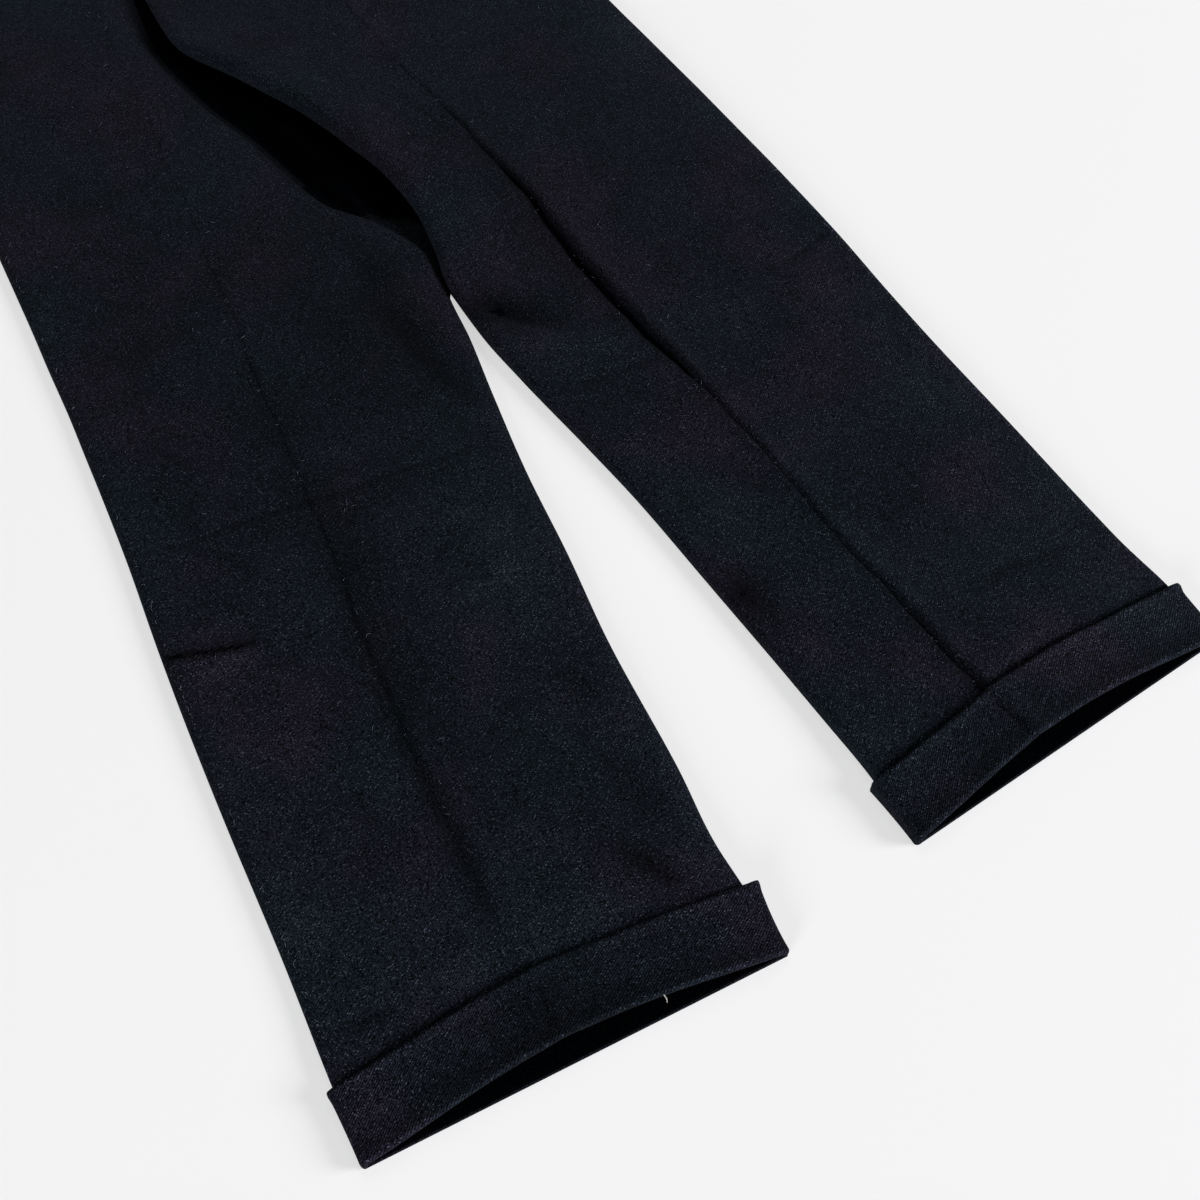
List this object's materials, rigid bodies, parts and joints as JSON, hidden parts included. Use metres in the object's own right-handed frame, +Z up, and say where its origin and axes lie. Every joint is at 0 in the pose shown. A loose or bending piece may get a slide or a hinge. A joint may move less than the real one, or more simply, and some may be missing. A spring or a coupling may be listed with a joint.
{
  "type": "wool trousers",
  "caption": "Wide-leg dark wool trousers with pressed creases and turn-ups, lying front up with the left front lapped over the right and the waistband buttoned.",
  "frame": {"origin": "on the surface that the trousers lie on, under the middle of their box", "axes": "+X to the wearer's left, +Y from the hems up to the waist, +Z up from the surface"},
  "size_m": [0.5882, 1.0864, 0.0275],
  "materials": {
    "wool_cloth": "fulled dark navy wool with a matt nap, sewn with matching thread",
    "horn_button": "polished dark horn, with four holes and a raised rim"
  },
  "bodies": {
    "root": {"front_right": "wool_cloth", "back_right": "wool_cloth", "turnup_front_right": "wool_cloth", "turnup_back_right": "wool_cloth", "waistband_front_right": "wool_cloth", "waistband_back_right": "wool_cloth", "front_left": "wool_cloth", "back_left": "wool_cloth", "turnup_front_left": "wool_cloth", "turnup_back_left": "wool_cloth", "waistband_front_left": "wool_cloth", "waistband_back_left": "wool_cloth", "waist_button": "horn_button"}
  },
  "joints": []
}
